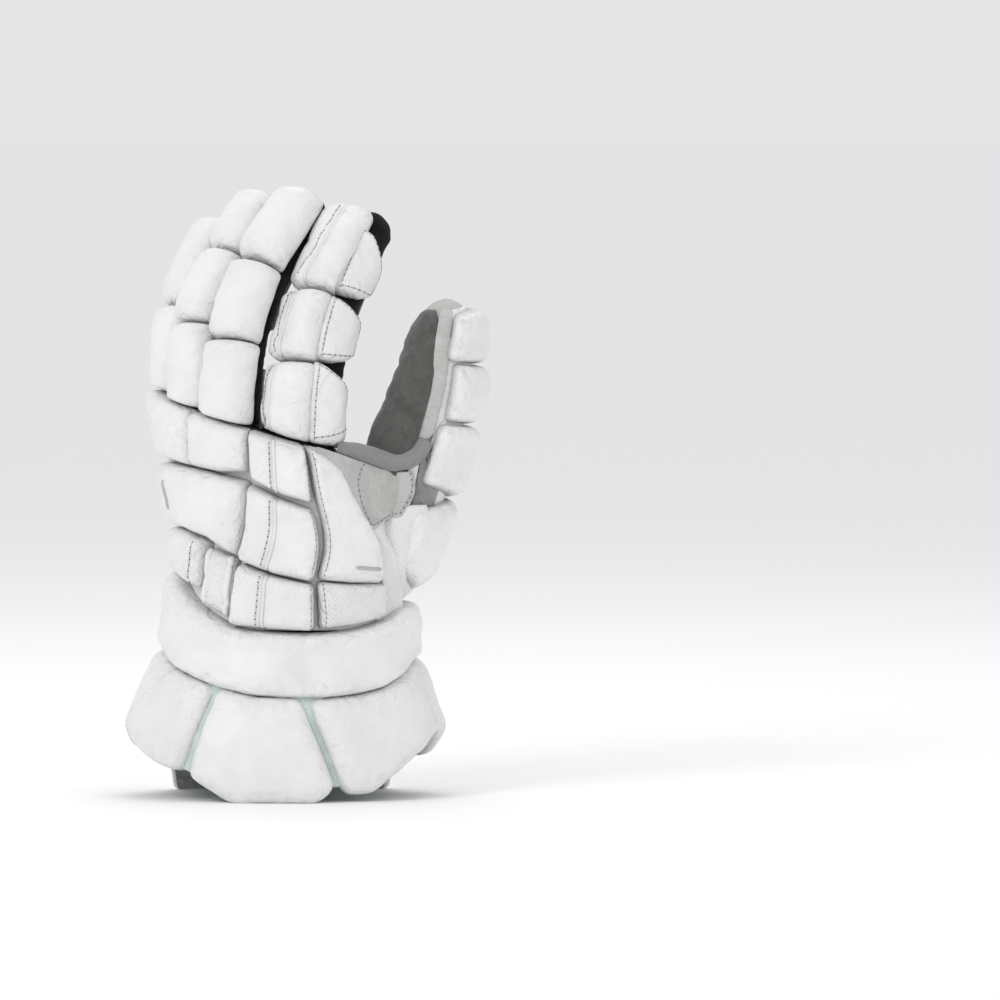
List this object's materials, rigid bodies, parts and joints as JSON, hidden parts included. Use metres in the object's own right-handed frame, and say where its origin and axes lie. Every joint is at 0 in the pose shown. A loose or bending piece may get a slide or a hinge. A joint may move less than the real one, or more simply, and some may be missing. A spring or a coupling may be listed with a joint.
{
  "type": "ice hockey glove",
  "caption": "White padded ice hockey glove for the left hand, standing on its flared cuff, with segmented rolls, a black mesh palm and grey suede patches.",
  "frame": {"origin": "on the surface it stands on, under the centre of the part's box", "axes": "+Z from the cuff to the fingertips, -Y the way the back of the hand faces at the wrist, +X towards the thumb"},
  "size_m": [0.1964, 0.1388, 0.3321],
  "materials": {
    "white_leather": "soft pebbled synthetic leather",
    "black_knit": "ribbed knit and mesh",
    "light_grey_suede": "napped suede",
    "mid_grey_suede": "napped suede",
    "dark_grey_suede": "napped suede",
    "green_lining": "smooth woven lining",
    "black_binding": "woven elastic and binding tape"
  },
  "bodies": {
    "root": {"back_block_1": "white_leather", "back_block_2": "white_leather", "back_block_3": "white_leather", "band_elastic": "black_binding", "closure_tab": "white_leather", "crotch_roll": "dark_grey_suede", "cuff_elastic_little_side": "black_binding", "cuff_elastic_thumb_side": "black_binding", "cuff_flap_little_side": "white_leather", "cuff_flap_thumb_side": "white_leather", "cuff_middle_plate": "white_leather", "green_lining": "green_lining", "hand_shell": "black_knit", "heel_patch": "light_grey_suede", "index_finger_patch": "mid_grey_suede", "index_roll_1": "white_leather", "index_roll_2": "white_leather", "index_roll_3": "white_leather", "index_stall": "black_knit", "knuckle_middle": "white_leather", "knuckle_ring": "white_leather", "little_finger_patch": "light_grey_suede", "little_roll_1": "white_leather", "little_roll_2": "white_leather", "little_stall": "black_knit", "middle_finger_patch": "mid_grey_suede", "middle_roll_1": "white_leather", "middle_roll_2": "white_leather", "middle_roll_3": "white_leather", "middle_stall": "black_knit", "palm_band_diagonal": "light_grey_suede", "palm_panel_upper": "light_grey_suede", "rim_binding": "black_binding", "ring_finger_patch": "light_grey_suede", "ring_roll_1": "white_leather", "ring_roll_2": "white_leather", "ring_roll_3": "white_leather", "ring_stall": "black_knit", "side_pad_lower": "white_leather", "side_pad_upper": "white_leather", "side_roll_long": "white_leather", "side_roll_short": "white_leather", "strap_little_side": "white_leather", "strap_thumb_side": "white_leather", "thumb_border_strip": "mid_grey_suede", "thumb_flex_patch": "mid_grey_suede", "thumb_gusset": "dark_grey_suede", "thumb_inner_suede": "dark_grey_suede", "thumb_roll_1": "white_leather", "thumb_roll_2": "white_leather", "thumb_roll_3": "white_leather", "thumb_roll_4": "white_leather", "thumb_side_panel_lower": "white_leather", "thumb_side_panel_upper": "white_leather", "thumb_side_tab": "white_leather", "thumb_stall": "black_knit", "thumb_suede_panel": "light_grey_suede", "vent_notch": "white_leather", "web_patch": "light_grey_suede", "wrist_band": "white_leather"}
  },
  "joints": []
}
